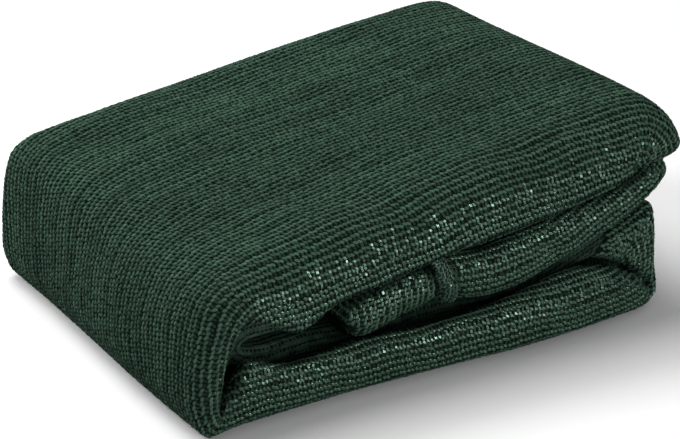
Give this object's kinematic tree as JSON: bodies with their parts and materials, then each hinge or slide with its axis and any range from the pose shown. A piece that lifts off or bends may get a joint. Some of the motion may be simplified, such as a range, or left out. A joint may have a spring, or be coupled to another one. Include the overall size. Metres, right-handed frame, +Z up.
{
  "type": "folded shade net",
  "caption": "Knitted dark green shade net folded flat into a soft package, with its rolled edges, turned hem and layered lobes showing.",
  "frame": {"origin": "middle of the package's box, on the surface it rests on", "axes": "+X along the package towards its open lobes, -Y towards the front where the rolled edges show, +Z up"},
  "size_m": [0.3348, 0.2608, 0.1263],
  "materials": {
    "net": "matt knitted plastic tape with small glints"
  },
  "bodies": {
    "root": {"shade_net": "net"}
  },
  "joints": []
}
